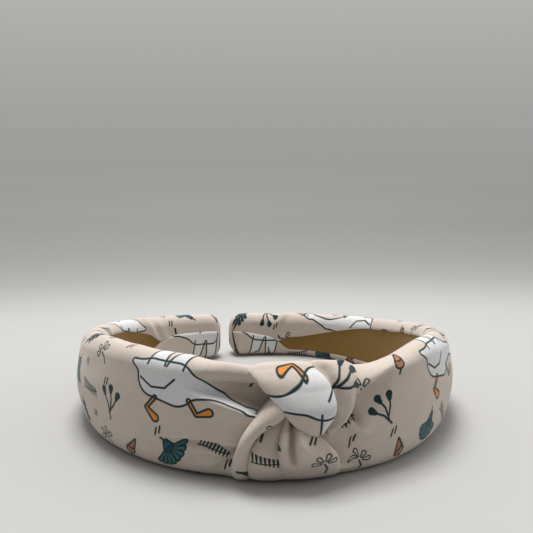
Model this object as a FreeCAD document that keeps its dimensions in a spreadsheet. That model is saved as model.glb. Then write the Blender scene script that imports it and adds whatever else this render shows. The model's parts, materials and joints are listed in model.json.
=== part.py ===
"""Knotted headband: a sprung hoop, foam padding, a suede lining and a knotted fabric cover.

The ring is built in the hoop's own frame: axis on Z, lower edge on Z = 0, highest at -Y.
Every sub-part is then turned so that the knot faces -Y, and moved so that the origin is
the bottom centre of the whole object.
"""
import FreeCAD, Part
import math
import os
import Sketcher

doc = FreeCAD.newDocument("knotted_headband")

# ------------------------------------------------------------------ driving dimensions
SIZES = {
    # ring, outside of the fabric
    "outer_radius": 71.5,
    "band_thickness": 10.0,
    "front_height": 38.0,
    "tip_height": 20.0,
    "level_depth": 47.0,        # the top edge is level from the front to this far before the axis
    # layers, outside to inside
    "fabric": 0.8,
    "foam_depth": 6.0,
    "hoop_thickness": 1.6,
    "lining_thickness": 0.8,
    "layer_gap": 0.05,
    "hoop_inset": 4.5,          # hoop and lining stop this far from the band's edges
    "lip_width": 5.5,           # fabric turned over the lining at each edge
    "outer_round": 4.2,
    "inner_round": 2.6,
    # the two tips
    "tip_gap": 4.5,
    "tip_round": 6.0,
    "gap_turn": 19.0,           # the gap is this far round from +Y, towards -X
    "point_reach": 24.0,        # gap's centre to the point of the lining
    "point_spread": 12.0,       # how much further away its two shoulders are
    # the knot
    "knot_turn": 6.0,           # the knot is this far round from -Y, towards +X
    "crown_half": 19.7,
    "arm_start": 20.0,
    "knot_wall": 1.0,           # bunched fabric round the band, outside the arms' fabric
    "knot_rise": 1.5,
    "knot_reach": 78.5,         # ring's axis to the front of the knot
    "knot_corner": 1.4,
    "knot_round": 1.3,
}

sizes = doc.addObject("Spreadsheet::Sheet", "sizes")
for row, (alias, value) in enumerate(SIZES.items(), start=1):
    sizes.set(f"A{row}", alias)
    sizes.set(f"B{row}", str(value))
    sizes.setAlias(f"B{row}", alias)
doc.recompute()

# Radii and heights that several sub-parts share, as expressions on the sheet.
INNER = "(sizes.outer_radius - sizes.band_thickness)"
CORE_OUTER = "(sizes.outer_radius - sizes.fabric)"
CORE_INNER = f"({INNER} + sizes.fabric)"
HOOP_OUTER = f"({CORE_OUTER} - sizes.foam_depth)"
HOOP_INNER = f"({HOOP_OUTER} - sizes.hoop_thickness)"
SIDE_REACH = 100.0      # half width of the tools that cut right through
TOOL_HEIGHT = 60.0      # taller than the band


# ------------------------------------------------------------------ helpers
def bind(thing, prop, expression):
    """Ties one property of an object to the sheet."""
    thing.setExpression(prop, expression)


def origin_plane(body, role):
    """One of the body's own origin planes."""
    return next(f for f in body.Origin.OriginFeatures if f.Role == role)


def new_sketch(body, name, role):
    """A sketch on one of the body's own origin planes."""
    sketch = body.newObject("Sketcher::SketchObject", name)
    sketch.AttachmentSupport = (origin_plane(body, role), [""])
    sketch.MapMode = "FlatFace"
    return sketch


def closed_outline(sketch, corners):
    """A closed polygon; corners are (across, up) guesses with the expressions that hold them."""
    count = len(corners)
    vectors = [FreeCAD.Vector(x, y, 0) for x, y, _, _ in corners]
    for i in range(count):
        sketch.addGeometry(Part.LineSegment(vectors[i], vectors[(i + 1) % count]), False)
    for i in range(count):
        sketch.addConstraint(Sketcher.Constraint("Coincident", i, 2, (i + 1) % count, 1))
    for i, (x, y, across, up) in enumerate(corners):
        for kind, value, expression in (("DistanceX", x, across), ("DistanceY", y, up)):
            index = sketch.addConstraint(Sketcher.Constraint(kind, -1, 1, i, 1, value))
            bind(sketch, f"Constraints[{index}]", expression)


def circle(sketch, radius):
    """A circle about the sketch's origin whose radius is an expression."""
    index = sketch.addGeometry(Part.Circle(FreeCAD.Vector(), FreeCAD.Vector(0, 0, 1), 70), False)
    sketch.addConstraint(Sketcher.Constraint("Coincident", index, 3, -1, 1))
    held = sketch.addConstraint(Sketcher.Constraint("Radius", index, 70))
    bind(sketch, f"Constraints[{held}]", radius)


def sheet_value(name):
    """A plain number from the sheet."""
    return float(sizes.get(name))


def rounded(body, feature, names, radius):
    """A fillet on the named edges of the body's last feature."""
    fillet = body.newObject("PartDesign::Fillet", body.Name + "_round")
    fillet.Base = (feature, names)
    bind(fillet, "Radius", radius)
    doc.recompute()
    return fillet


def ring_edges(feature, outside):
    """The long edges on the outer or the inner wall of a ring."""
    wall = sheet_value("outer_radius") - sheet_value("band_thickness") / 2
    names = []
    for i, edge in enumerate(feature.Shape.Edges, start=1):
        box = edge.BoundBox
        middle = edge.valueAt((edge.FirstParameter + edge.LastParameter) / 2)
        along = edge.Curve.TypeId != "Part::GeomLine" and box.DiagonalLength > 30
        if along and (math.hypot(middle.x, middle.y) > wall) == outside:
            names.append(f"Edge{i}")
    return names


def ring(name, inner, outer, inset, rise="0", rounds=None):
    """A whole ring with a flat foot and a top edge that slopes down to the tips.

    inner and outer are radii, and inset is how far it stays from the band's two edges.
    """
    body = doc.addObject("PartDesign::Body", name)
    base = new_sketch(body, name + "_base", "XY_Plane")
    circle(base, outer)
    circle(base, inner)
    bind(base, ".AttachmentOffset.Base.z", inset)
    pad = body.newObject("PartDesign::Pad", name + "_pad")
    pad.Profile = base
    bind(pad, "Length", f"sizes.front_height + {rise} - 2 * {inset}")
    doc.recompute()
    slope = new_sketch(body, name + "_slope", "YZ_Plane")
    top = f"sizes.front_height + {rise} - {inset}"
    low = f"sizes.tip_height + {rise} - {inset}"
    tip_y = "sizes.outer_radius * cos(sizes.gap_turn * 1deg)"
    fall = f"(({top}) - ({low})) / ({tip_y} + sizes.level_depth)"
    far = f"(({top}) - {fall} * ({SIDE_REACH} + sizes.level_depth))"
    closed_outline(slope, [
        (-47, 38, "-sizes.level_depth", top),
        (100, 15, f"{SIDE_REACH}", far),
        (100, 60, f"{SIDE_REACH}", f"{TOOL_HEIGHT}"),
        (-47, 60, "-sizes.level_depth", f"{TOOL_HEIGHT}"),
    ])
    pocket = body.newObject("PartDesign::Pocket", name + "_slope_cut")
    pocket.Profile = slope
    pocket.Type = "ThroughAll"
    pocket.Midplane = True
    doc.recompute()
    if pocket.Shape.Volume > pad.Shape.Volume * 0.95:
        raise RuntimeError(f"{name}: the slope cut removed too little")
    last = pocket
    for outside, radius in rounds or ():
        last = rounded(body, last, ring_edges(last, outside), radius)
    return body


def toward_gap(body, sketch):
    """Extrudes a cutting outline from the ring's axis out through the band, at the gap."""
    pad = body.newObject("PartDesign::Pad", body.Name + "_pad")
    pad.Profile = sketch
    pad.Length = SIDE_REACH
    pad.Reversed = True
    turn = FreeCAD.Rotation(FreeCAD.Vector(0, 0, 1), 1)
    body.Placement = FreeCAD.Placement(FreeCAD.Vector(), turn)
    bind(body, ".Placement.Rotation.Angle", "sizes.gap_turn * 1deg")
    doc.recompute()
    return pad


def gap_tool(name, inset):
    """The gap between the tips, with the round corners that it leaves on them.

    It is an upright slot between two slabs, one over and one under the band.
    """
    body = doc.addObject("PartDesign::Body", name)
    sketch = new_sketch(body, name + "_outline", "XZ_Plane")
    near = f"(sizes.tip_gap / 2 + {inset})"
    far = f"({near} + sizes.tip_round + 1)"
    foot, top = f"{inset}", f"(sizes.tip_height - {inset})"
    below, above = "-5", f"{TOOL_HEIGHT}"
    right = [(10, -5, far, below), (10, 0, far, foot), (3, 0, near, foot),
             (3, 20, near, top), (10, 20, far, top), (10, 60, far, above)]
    left = [(-x, z, f"-{across}", up) for x, z, across, up in reversed(right)]
    closed_outline(sketch, right + left)
    pad = toward_gap(body, sketch)
    slot = sheet_value("tip_gap") / 2 + sheet_value("hoop_inset") + 1
    corners = [f"Edge{i}" for i, edge in enumerate(pad.Shape.Edges, start=1)
               if edge.BoundBox.YLength > SIDE_REACH * 0.9
               and abs(edge.BoundBox.XMin) < slot and 0 <= edge.BoundBox.ZMin < TOOL_HEIGHT / 2]
    rounded(body, pad, corners, f"sizes.tip_round - {inset} / 2")
    return body


def point_tool(name):
    """The stretch at the tips where the fabric closes round the inside, pointed at both ends."""
    body = doc.addObject("PartDesign::Body", name)
    sketch = new_sketch(body, name + "_outline", "XZ_Plane")
    point = "sizes.point_reach"
    shoulder = "(sizes.point_reach + sizes.point_spread)"
    below, middle, above = "-5", "(sizes.tip_height / 2)", "(sizes.tip_height + 5)"
    closed_outline(sketch, [
        (36, -5, shoulder, below), (24, 10, point, middle), (36, 25, shoulder, above),
        (-36, 25, f"-{shoulder}", above), (-24, 10, f"-{point}", middle),
        (-36, -5, f"-{shoulder}", below),
    ])
    toward_gap(body, sketch)
    return body


def wedge(name, start, angle):
    """A slice of the whole ring: start is the turn from +X, anticlockwise."""
    slice_ = doc.addObject("Part::Cylinder", name)
    slice_.Radius = SIDE_REACH
    slice_.Height = TOOL_HEIGHT + 10
    bind(slice_, "Angle", angle)
    slice_.Placement = FreeCAD.Placement(FreeCAD.Vector(0, 0, -5),
                                         FreeCAD.Rotation(FreeCAD.Vector(0, 0, 1), 1))
    bind(slice_, ".Placement.Rotation.Angle", f"({start}) * 1deg")
    return slice_


def boolean(kind, name, base, tool):
    """Part::Cut or Part::Common of two objects."""
    result = doc.addObject(f"Part::{kind}", name)
    result.Base = base
    result.Tool = tool
    doc.recompute()
    return result


def placed(piece):
    """Turns and moves a piece from the hoop's frame into the object's own frame."""
    piece.Placement = FreeCAD.Placement(FreeCAD.Vector(0, 3.5, 0),
                                        FreeCAD.Rotation(FreeCAD.Vector(0, 0, 1), -1))
    bind(piece, ".Placement.Base.y", "(sizes.knot_reach - sizes.outer_radius) / 2")
    bind(piece, ".Placement.Rotation.Angle", "sizes.knot_turn * -1deg")
    return piece


# ------------------------------------------------------------------ cutting tools
EDGE = "(sizes.fabric)"                      # how far foam and cavity stay from the band's edges
HOOP_EDGE = "(sizes.hoop_inset)"
outer_gap = gap_tool("outer_gap", "0")
core_gap = gap_tool("core_gap", EDGE)
hoop_gap = gap_tool("hoop_gap", HOOP_EDGE)
recess_gap = gap_tool("recess_gap", "(sizes.hoop_inset - sizes.layer_gap)")
tip_point = point_tool("tip_point")

KNOT_START = "270 + sizes.knot_turn"
GAP_START = "90 + sizes.gap_turn"
slices = {
    "crown": wedge("crown_slice", f"{KNOT_START} - sizes.crown_half", "2 * sizes.crown_half"),
    "right_arm": wedge("right_slice", f"{KNOT_START} + sizes.arm_start",
                       f"360 + {GAP_START} - ({KNOT_START}) - sizes.arm_start"),
    "left_arm": wedge("left_slice", GAP_START,
                      f"{KNOT_START} - sizes.arm_start - ({GAP_START})"),
}

# ------------------------------------------------------------------ layers, as whole rings
GAP = "sizes.layer_gap"
fabric_ring = ring("fabric_ring", INNER, "sizes.outer_radius", "0",
                   rounds=((True, "sizes.outer_round"), (False, "sizes.inner_round")))
bunched_ring = ring("bunched_ring", INNER, "(sizes.outer_radius + sizes.knot_wall)", "0",
                    rise="sizes.knot_rise",
                    rounds=((True, "sizes.outer_round"), (False, "sizes.inner_round")))
cavity_ring = ring("cavity_ring", CORE_INNER, CORE_OUTER, EDGE,
                   rounds=((True, "sizes.outer_round - sizes.fabric"),
                           (False, "sizes.inner_round - sizes.fabric")))
foam_ring = ring("foam_ring", f"({CORE_INNER} + {GAP})", f"({CORE_OUTER} - {GAP})",
                 f"({EDGE} + {GAP})",
                 rounds=((True, "sizes.outer_round - sizes.fabric"),
                         (False, "sizes.inner_round - sizes.fabric")))
recess_ring = ring("recess_ring", f"({INNER} - 1)", f"({HOOP_OUTER} + {GAP})",
                   f"({HOOP_EDGE} - {GAP})")
hoop_ring = ring("hoop_ring", HOOP_INNER, HOOP_OUTER, HOOP_EDGE)
lining_ring = ring("lining_ring", f"({CORE_INNER} + {GAP})", f"({HOOP_INNER} - {GAP})", HOOP_EDGE)
window_ring = ring("window_ring", f"({INNER} - 1)", f"({CORE_INNER} + {GAP})", "sizes.lip_width")

window = boolean("Cut", "window", window_ring, tip_point)
cavity = boolean("Cut", "cavity", cavity_ring, core_gap)
recess = boolean("Cut", "recess", recess_ring, recess_gap)

# ------------------------------------------------------------------ layers with their gap
cover_blank = boolean("Cut", "cover_blank", fabric_ring, outer_gap)
cover_hollow = boolean("Cut", "cover_hollow", cover_blank, cavity)
cover_shell = boolean("Cut", "cover_shell", cover_hollow, window)
bunched_hollow = boolean("Cut", "bunched_hollow", bunched_ring, cavity)
bunched_shell = boolean("Cut", "bunched_shell", bunched_hollow, window)
foam_blank = boolean("Cut", "foam_blank", foam_ring, core_gap)
foam_shell = boolean("Cut", "foam_shell", foam_blank, recess)
hoop_shell = boolean("Cut", "hoop_shell", hoop_ring, hoop_gap)
lining_shell = boolean("Cut", "lining_shell", lining_ring, hoop_gap)

# ------------------------------------------------------------------ the band's sub-parts
pieces = []
for part, shell in (("hoop", hoop_shell), ("foam", foam_shell), ("lining", lining_shell)):
    for side, slice_ in slices.items():
        pieces.append(placed(boolean("Common", f"{part}_{side}", shell, slice_)))
for side in ("left_arm", "right_arm"):
    pieces.append(placed(boolean("Common", f"cover_{side}", cover_shell, slices[side])))
pieces.append(placed(boolean("Common", "knot_inner_wrap", bunched_shell, slices["crown"])))


# ------------------------------------------------------------------ the knot's folds
def rounded_polygon(sketch, corners, radius):
    """A closed polygon with every corner rounded by an arc; corners run anticlockwise."""
    count = len(corners)
    points = [FreeCAD.Vector(x, z, 0) for x, z in corners]
    starts, ends, centres = [], [], []
    for i in range(count):
        before = (points[i - 1] - points[i]).normalize()
        after = (points[(i + 1) % count] - points[i]).normalize()
        half = before.getAngle(after) / 2
        back = radius / math.tan(half)
        starts.append(points[i] + before * back)
        ends.append(points[i] + after * back)
        middle = (before + after).normalize()
        centres.append((points[i] + middle * (radius / math.sin(half)), middle))
    for i in range(count):
        centre, middle = centres[i]
        crown = centre - middle * radius
        sketch.addGeometry(Part.Arc(starts[i], crown, ends[i]), False)
        sketch.addGeometry(Part.LineSegment(ends[i], starts[(i + 1) % count]), False)


def knot_fold(name, corners, reach):
    """One soft fold of the knot: a pad on the front of the band with its front edge rounded.

    corners are (x, z) in the object's frame, and reach is how far its front is from the axis.
    """
    body = doc.addObject("PartDesign::Body", name)
    outline = new_sketch(body, name + "_outline", "XZ_Plane")
    rounded_polygon(outline, corners, sheet_value("knot_corner"))
    pad = body.newObject("PartDesign::Pad", name + "_pad")
    pad.Profile = outline
    bind(pad, "Length", reach)
    back = new_sketch(body, name + "_back", "XY_Plane")
    circle(back, "sizes.outer_radius + sizes.knot_wall + sizes.layer_gap")
    pocket = body.newObject("PartDesign::Pocket", name + "_back_cut")
    pocket.Profile = back
    pocket.Type = "ThroughAll"
    pocket.Midplane = True
    doc.recompute()
    front = pocket.Shape.BoundBox.YMin
    names = [f"Edge{i}" for i, edge in enumerate(pocket.Shape.Edges, start=1)
             if edge.BoundBox.YMax < front + 0.01]
    rounded(body, pocket, names, "sizes.knot_round")
    bind(body, ".Placement.Base.y", "(sizes.knot_reach - sizes.outer_radius) / 2")
    return body


# Outlines of the folds as seen from the front, hand set, about 0.4 mm apart.
FRONT_STRAP = [(7.6, 15.6), (13.0, 21.5), (13.2, 30.0), (8.5, 38.0), (-15.5, 38.0),
               (-13.0, 32.5), (-7.5, 29.4), (-1.0, 20.6)]
SIDE_FOLD = [(11.6, 18.2), (14.8, 17.8), (17.4, 22.6), (19.4, 29.0), (19.4, 38.0), (9.2, 38.0),
             (13.7, 30.1), (13.5, 21.2)]
LOWER_ROLL = [(-7.6, 28.7), (-11.6, 24.6), (-16.4, 16.0), (-20.4, 1.5), (-16.0, 1.5),
              (-13.6, 12.5), (-8.6, 19.4), (-4.6, 23.6)]
LOWER_FAN = [(-4.4, 23.0), (-8.0, 19.2), (-13.0, 12.3), (-15.3, 1.0), (14.6, 1.0),
             (13.6, 9.5), (10.2, 14.6), (7.4, 14.9), (-1.4, 19.8)]
for label, outline, reach in (
        ("knot_front_strap", FRONT_STRAP, "sizes.knot_reach"),
        ("knot_side_fold", SIDE_FOLD, "sizes.knot_reach - 2.5"),
        ("knot_lower_roll", LOWER_ROLL, "sizes.knot_reach - 1"),
        ("knot_lower_fan", LOWER_FAN, "sizes.knot_reach - 2")):
    pieces.append(knot_fold(label, outline, reach))
doc.recompute()

# ------------------------------------------------------------------ checks and export
for thing in doc.Objects:
    if {"Invalid", "Error"} & set(thing.State):
        raise RuntimeError(f"{thing.Name} failed: {thing.State}")
os.makedirs("parts", exist_ok=True)
for piece in pieces:
    shape = piece.Shape
    if shape.isNull() or not shape.isValid() or len(shape.Solids) != 1:
        raise RuntimeError(f"{piece.Label}: not one valid solid")
    shape.exportStep(f"parts/{piece.Label}.step")
    box = shape.BoundBox
    print(f"{piece.Label:18s} {shape.Volume / 1000:7.3f} cm3  "
          f"x {box.XMin:6.1f}..{box.XMax:5.1f}  y {box.YMin:6.1f}..{box.YMax:5.1f}  "
          f"z {box.ZMin:5.1f}..{box.ZMax:5.1f}")
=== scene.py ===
"""Knotted headband: a printed knit cover over foam, tied in a flat knot, with a suede lining.

The band is described by two coordinates in millimetres. s runs round the ring, from the knot's
middle (0) towards +X, and v runs round the band's cross-section: on the outer face v is the
height, over the top edge it goes on inwards, and below the lower edge it is negative.
"""
import json
import math

import bpy
import numpy as np
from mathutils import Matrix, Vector, noise


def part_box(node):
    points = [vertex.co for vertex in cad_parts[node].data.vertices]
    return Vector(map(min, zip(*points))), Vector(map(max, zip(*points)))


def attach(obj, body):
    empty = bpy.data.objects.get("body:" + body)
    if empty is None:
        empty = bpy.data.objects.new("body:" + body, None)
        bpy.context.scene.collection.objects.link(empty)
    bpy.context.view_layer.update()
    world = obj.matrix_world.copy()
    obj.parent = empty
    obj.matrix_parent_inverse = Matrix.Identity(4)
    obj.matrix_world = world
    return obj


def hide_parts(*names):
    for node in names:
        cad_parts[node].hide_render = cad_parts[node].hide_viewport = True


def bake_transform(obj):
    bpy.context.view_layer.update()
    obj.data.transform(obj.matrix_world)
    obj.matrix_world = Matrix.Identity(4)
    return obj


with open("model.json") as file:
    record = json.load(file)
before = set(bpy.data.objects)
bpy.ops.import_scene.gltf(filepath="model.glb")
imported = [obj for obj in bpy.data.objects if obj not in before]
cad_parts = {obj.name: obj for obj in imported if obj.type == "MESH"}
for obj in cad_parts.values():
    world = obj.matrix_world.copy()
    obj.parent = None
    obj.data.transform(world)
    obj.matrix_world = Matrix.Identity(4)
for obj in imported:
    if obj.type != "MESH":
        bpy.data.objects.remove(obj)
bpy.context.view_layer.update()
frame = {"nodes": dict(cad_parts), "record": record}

MM = 0.001

# -------------------- the band's measures, in mm
head_grip = next(m for m in frame["record"]["mounts"] if m["name"] == "head_grip")
AXIS_Y = head_grip["pos_m"][1] / MM
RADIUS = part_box("cover_right_arm")[1].x / MM        # outside of the fabric
FRONT_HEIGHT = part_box("cover_left_arm")[1].z / MM
TIP_HEIGHT = 20.0
THICKNESS = 10.0
LEVEL_DEPTH = 47.0          # the top edge is level from the front to this far before the axis
LEVEL_END = 5.0             # how gently the level part turns into the fall towards the tips
KNOT_TURN = math.radians(6.0)               # from the front of that slope round to the knot
GAP_TURN = math.radians(19.0)               # from the back of it round to the gap
MIDDLE_RADIUS = RADIUS - THICKNESS / 2
GAP_WIDTH = 4.5
GAP_HALF = GAP_WIDTH / 2 / MIDDLE_RADIUS
RIGHT_TIP = math.pi + GAP_TURN - KNOT_TURN - GAP_HALF
LEFT_TIP = -(math.pi - GAP_TURN + KNOT_TURN - GAP_HALF)
OUTER_ROUND, INNER_ROUND = 4.8, 4.2
FLAT = THICKNESS - OUTER_ROUND - INNER_ROUND        # across the top, between the two rounds
# how far from each tip the band rounds off, seen from the side and from the top
TIP_ROUND, TIP_ROUND_DEPTH = 6.5, 4.5
KNOT_SAG, SAG_ENDS = 2.6, (15, 38)          # the knot pulls the top edge down, less between these
RIM_DIP, RIM_DIP_PLACE = 3.5, 34.0          # the top edge's dip right of the knot, and its s
RIGHT_SET_IN = 3.2          # how far the right arm stands inside the circle
FACE_BULGE = 0.6            # the outer face's plain crown
FABRIC, SUEDE_THICKNESS = 0.7, 0.6
LINING_LIFT, FOAM_LIFT = -0.5, -1.1         # above the band's plain surface
HEM_DROP, HEM_WIDTH = 0.75, 1.2             # how the cover's edges turn under
HEM_OVERLAP = 1.3           # how far the lining runs on under each hem
FOLD_ZONE = 48.0            # the mesh is finer this near to the knot, along s
FOLD_UNDER = -2.2           # how deep the underside of a fold of the knot lies in the band
TIP_FALL = (FRONT_HEIGHT - TIP_HEIGHT) / (RADIUS * math.cos(GAP_TURN) + LEVEL_DEPTH)


def smooth_step(x, low, high):
    """0 below low, 1 above high, with a soft change between."""
    t = np.clip((x - low) / (high - low), 0, 1)
    return t * t * (3 - 2 * t)


def quarter_round(x):
    """Rises from 0 at x = 0 to 1 at x = 1 as a quarter of a circle does, and stays 1."""
    return np.sqrt(np.clip(1 - (1 - np.clip(x, 0, 1)) ** 2, 0, 1))


def top_height(theta):
    """Height of the band's top edge at an angle round the ring; the knot pulls it down."""
    depth = -RADIUS * np.cos(theta + KNOT_TURN) + LEVEL_DEPTH
    pulled = KNOT_SAG * (1 - smooth_step(np.abs(theta * RADIUS - 1), *SAG_ENDS))
    return FRONT_HEIGHT - pulled - TIP_FALL * LEVEL_END * np.logaddexp(0, depth / LEVEL_END)


def round_length(theta):
    """Length of the way round the cross-section."""
    arcs = math.pi * (OUTER_ROUND + INNER_ROUND)
    straight = 2 * top_height(theta) - 2 * (OUTER_ROUND + INNER_ROUND)
    return straight + 2 * FLAT + arcs


def inner_face_start(top):
    """Where v reaches the flat inner face, over the top edge."""
    return top - OUTER_ROUND + (OUTER_ROUND + INNER_ROUND) * math.pi / 2 + FLAT


def band_point(s, v, lift):
    """Points at (s, v), lift above the band's outside; arrays of one shape in, (..., 3) out."""
    theta = s / RADIUS
    top = top_height(theta)
    outer_arc, inner_arc = OUTER_ROUND * math.pi / 2, INNER_ROUND * math.pi / 2
    face, back = top - 2 * OUTER_ROUND, top - 2 * INNER_ROUND
    lengths = [face, outer_arc, FLAT, inner_arc, back, inner_arc, FLAT, outer_arc]
    inner = RADIUS - THICKNESS
    w = np.mod(v - OUTER_ROUND, round_length(theta))
    # each stretch: (radius, height, outward across, outward up) as functions of the way along it
    quarter = math.pi / 2

    def arc(centre_r, centre_z, radius, start):
        def at(x):
            angle = start + x / radius
            return (centre_r + radius * np.cos(angle), centre_z + radius * np.sin(angle),
                    np.cos(angle), np.sin(angle))
        return at

    one, zero = np.ones_like(w), np.zeros_like(w)
    stretches = [
        lambda x: (RADIUS + FACE_BULGE * np.sin(math.pi * np.clip(x / face, 0, 1)) ** 2,
                   OUTER_ROUND + x, one, zero),
        arc(RADIUS - OUTER_ROUND, top - OUTER_ROUND, OUTER_ROUND, 0),
        lambda x: (RADIUS - OUTER_ROUND - x, top, zero, one),
        arc(inner + INNER_ROUND, top - INNER_ROUND, INNER_ROUND, quarter),
        lambda x: (inner * one, top - INNER_ROUND - x, -one, zero),
        arc(inner + INNER_ROUND, INNER_ROUND * one, INNER_ROUND, 2 * quarter),
        lambda x: (inner + INNER_ROUND + x, zero, zero, -one),
        arc(RADIUS - OUTER_ROUND, OUTER_ROUND * one, OUTER_ROUND, 3 * quarter),
    ]
    r, z, across, up = (np.zeros_like(w) for _ in range(4))
    start = np.zeros_like(w)
    for length, stretch in zip(lengths, stretches):
        inside = (w >= start) & (w <= start + length)
        found = stretch(w - start)
        for target, value in zip((r, z, across, up), found):
            target[inside] = np.broadcast_to(value, w.shape)[inside]
        start = start + length
    r, z = r + lift * across, z + lift * up
    r = r + set_in(theta) - lean(theta, r, z / top)
    # the rounded tips draw the section in towards its middle
    left = np.minimum(RIGHT_TIP - theta, theta - LEFT_TIP) * MIDDLE_RADIUS
    middle = MIDDLE_RADIUS + set_in(theta)
    short = TIP_ROUND * (1 - quarter_round(left / TIP_ROUND))
    r = middle + (r - middle) * quarter_round(left / TIP_ROUND_DEPTH)
    z = z - rim_dip(s) * np.clip(z / top, 0, 1) ** 5
    z = np.maximum(top / 2 + (z - top / 2) * (1 - 2 * short / top), 0)     # it rests on the floor
    return np.stack([r * np.sin(theta), AXIS_Y - r * np.cos(theta), z], axis=-1)


def rim_dip(s):
    """How far the top edge sinks where the right strip is drawn into the knot."""
    spread = np.where(s < RIM_DIP_PLACE, 14.0, 17.0)
    return RIM_DIP * np.exp(-((s - RIM_DIP_PLACE) / spread) ** 2)


def set_in(theta):
    """How far the band stands outside the circle: the right arm stands a little inside it."""
    return -RIGHT_SET_IN * smooth_step(theta, 0.35, 1.2) * (1 - smooth_step(theta, 2.0, 2.8))


def lean(theta, r, height):
    """How far the outer face draws in: most at its edges and beside the knot, least halfway up.

    height is a share of the band's height there, and the result is in mm.
    """
    outer = np.clip((r - RADIUS + THICKNESS) / THICKNESS, 0, 1)
    side = smooth_step(np.abs(theta), 0.35, 1.2)
    knot = 1 - smooth_step(np.abs(theta * RADIUS - 4), 14, 36)
    above = np.clip((height - 0.5) / 0.5, 0, 1) ** 2 * (0.2 + 1.6 * side)
    above = above + np.clip((height - 0.4) / 0.6, 0, 1) ** 1.5 * 2.6 * knot
    below = np.clip((0.35 - height) / 0.35, 0, 1) ** 2 * (1.7 + 0.3 * side)
    full = 0.7 * side * np.sin(math.pi * np.clip(height, 0, 1))
    return outer * (above + below - full)


# -------------------- shape helpers
def spline(points, t):
    """A smooth curve through given points, at t from 0 to 1."""
    points = np.array(points, float)
    count = len(points)
    x = np.clip(t, 0, 1) * (count - 1)
    i = np.clip(np.floor(x).astype(int), 0, count - 2)
    f = (x - i)[:, None]
    padded = np.vstack([2 * points[0] - points[1], points, 2 * points[-1] - points[-2]])
    a, b, c, d = (padded[i + k] for k in range(4))
    return 0.5 * (2 * b + (c - a) * f + (2 * a - 5 * b + 4 * c - d) * f ** 2
                  + (3 * b - a - 3 * c + d) * f ** 3)


LINE_SAMPLES = 40           # points that stand for a given line


def line_distance(s, v, points):
    """Distance from each (s, v) to a smooth line, its signed side, and how far along it is."""
    line = spline(points, np.linspace(0, 1, LINE_SAMPLES))
    best = np.full(s.shape, 1e9)
    side, along = np.zeros(s.shape), np.zeros(s.shape)
    for k in range(LINE_SAMPLES - 1):
        a, b = line[k], line[k + 1]
        d = b - a
        length = max(float(d @ d), 1e-9)
        t = np.clip(((s - a[0]) * d[0] + (v - a[1]) * d[1]) / length, 0, 1)
        ds, dv = s - a[0] - t * d[0], v - a[1] - t * d[1]
        far = np.hypot(ds, dv)
        nearer = far < best
        best = np.where(nearer, far, best)
        side = np.where(nearer, np.sign(d[0] * dv - d[1] * ds), side)
        along = np.where(nearer, (k + t) / (LINE_SAMPLES - 1), along)
    return best, side, along


def crease(s, v, points, depth, width, other_width, fade):
    """A ridge (depth over 0) or a valley along a line, with a width for each of its sides.

    fade is the share of its length by which it has come in, and the share where it goes out.
    """
    far, side, along = line_distance(s, v, points)
    spread = np.where(side > 0, width, other_width)
    ends = smooth_step(along, 0, fade[0]) if fade[0] > 0 else 1.0
    ends = ends * (1 - smooth_step(along, fade[1], 1.0)) if fade[1] < 1 else ends
    return depth * np.exp(-(far / spread) ** 2) * ends


def ripple(points, scale, strength, seed):
    """Small uneven waves in the fabric, the same ones each run."""
    shape = points.shape[:-1]
    flat = points.reshape(-1, 3)
    values = [noise.noise(Vector(p) / scale + Vector((seed, seed, seed))) for p in flat]
    return strength * np.array(values).reshape(shape)


def new_mesh(name, points, faces, material, uvs=None, smooth=True):
    """A mesh object from points in mm; uvs are one (u, v) in mm for each corner."""
    mesh = bpy.data.meshes.new(name)
    mesh.from_pydata((np.asarray(points) * MM).tolist(), [], faces)
    if uvs is not None:
        layer = mesh.uv_layers.new(name="cloth")
        layer.data.foreach_set("uv", (np.asarray(uvs, np.float32) * MM).ravel())
    mesh.polygons.foreach_set("use_smooth", [smooth] * len(mesh.polygons))
    mesh.update()
    obj = bpy.data.objects.new(name, mesh)
    bpy.context.scene.collection.objects.link(obj)
    mesh.materials.append(material)
    return obj


def grid_object(name, points, uv, material, closed=False, flip=False):
    """A grid of points (rows, columns, 3) as a mesh; closed joins the last column to the first.

    flip turns the faces over, so that they look outwards.
    """
    if flip:
        points, uv = points[:, ::-1], uv[:, ::-1]
    rows, columns = points.shape[:2]
    faces, corners = [], []
    last = columns if closed else columns - 1
    for i in range(rows - 1):
        for j in range(last):
            k = (j + 1) % columns
            faces.append((i * columns + j, i * columns + k,
                          (i + 1) * columns + k, (i + 1) * columns + j))
            corners += [(i, j), (i, j + 1), (i + 1, j + 1), (i + 1, j)]
    if closed:
        faces.append(tuple(range(columns))[::-1])
        faces.append(tuple((rows - 1) * columns + j for j in range(columns)))
        corners += [(0, j) for j in reversed(range(columns))]
        corners += [(rows - 1, j) for j in range(columns)]
    corners = np.array(corners)
    uvs = uv[corners[:, 0], np.minimum(corners[:, 1], uv.shape[1] - 1)]
    return new_mesh(name, points.reshape(-1, 3), faces, material, uvs)


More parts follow.
